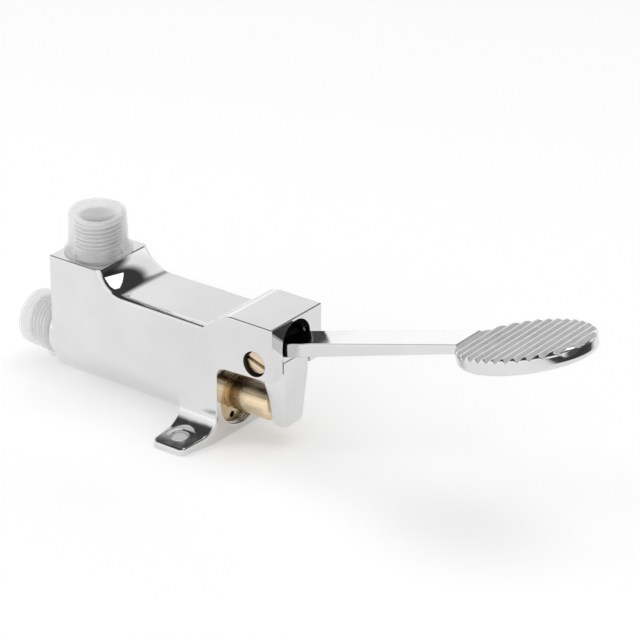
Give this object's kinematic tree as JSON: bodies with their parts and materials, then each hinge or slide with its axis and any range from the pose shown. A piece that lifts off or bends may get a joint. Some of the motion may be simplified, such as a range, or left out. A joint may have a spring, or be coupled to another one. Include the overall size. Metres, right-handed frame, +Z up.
{
  "type": "foot pedal tap valve",
  "caption": "Floor-mounted push valve with a pedal lever on a pivot, a spring-closed plunger, threaded pipe ports at top and rear, and screw-down ears.",
  "frame": {"origin": "on the floor, midway between the two mounting holes", "axes": "+X along the body towards the pedal, +Y across the ears, +Z up from the floor"},
  "size_m": [0.2798, 0.07, 0.0896],
  "materials": {
    "body_chrome": "polished chrome plate on cast brass",
    "lever_chrome": "polished chrome plate on a casting",
    "cap_plastic": "clear soft plastic",
    "screw_brass": "turned brass, slotted head",
    "plunger_brass": "fine turned brass",
    "gland_brass": "turned brass",
    "spring_steel": "bright spring steel",
    "gasket_rubber": "flat fibre-filled rubber",
    "seal_rubber": "smooth black rubber"
  },
  "bodies": {
    "valve": {"valve_body": "body_chrome", "pivot_screw": "screw_brass", "pivot_lock_washer": "spring_steel", "gland_nut": "gland_brass", "gland_gasket": "gasket_rubber", "gland_seals": "seal_rubber", "seat_cage": "gland_brass", "cage_gasket": "gasket_rubber", "return_spring": "spring_steel"},
    "lever": {"pedal_lever": "lever_chrome"},
    "plunger_train": {"plunger": "plunger_brass", "valve_disc": "gland_brass", "seat_washer": "seal_rubber", "disc_lock_washer": "spring_steel", "disc_nut": "gland_brass"},
    "top_cap": {"top_port_cap": "cap_plastic"},
    "rear_cap": {"rear_port_cap": "cap_plastic"}
  },
  "joints": [
    {"name": "pedal_press", "type": "hinge", "parent": "valve", "child": "lever", "pos_m": [0.031, 0, 0.0418], "axis": [0, 1, 0], "range_deg": [0, 10], "stiffness_Nm_per_rad": 1.75, "springref_deg": -17.19},
    {"name": "plunger_push", "type": "slide", "parent": "valve", "child": "plunger_train", "axis": [-1, 0, 0], "range_m": [0, 0.0045], "deforming": ["return_spring"]},
    {"name": "top_cap_pull", "type": "slide", "parent": "valve", "child": "top_cap", "axis": [0, 0, 1], "range_m": [0, 0.03]},
    {"name": "rear_cap_pull", "type": "slide", "parent": "valve", "child": "rear_cap", "axis": [-1, 0, 0], "range_m": [0, 0.03]}
  ],
  "couplings": [
    {"joint": "plunger_push", "follows": "pedal_press", "m_per_rad": 0.025364}
  ]
}
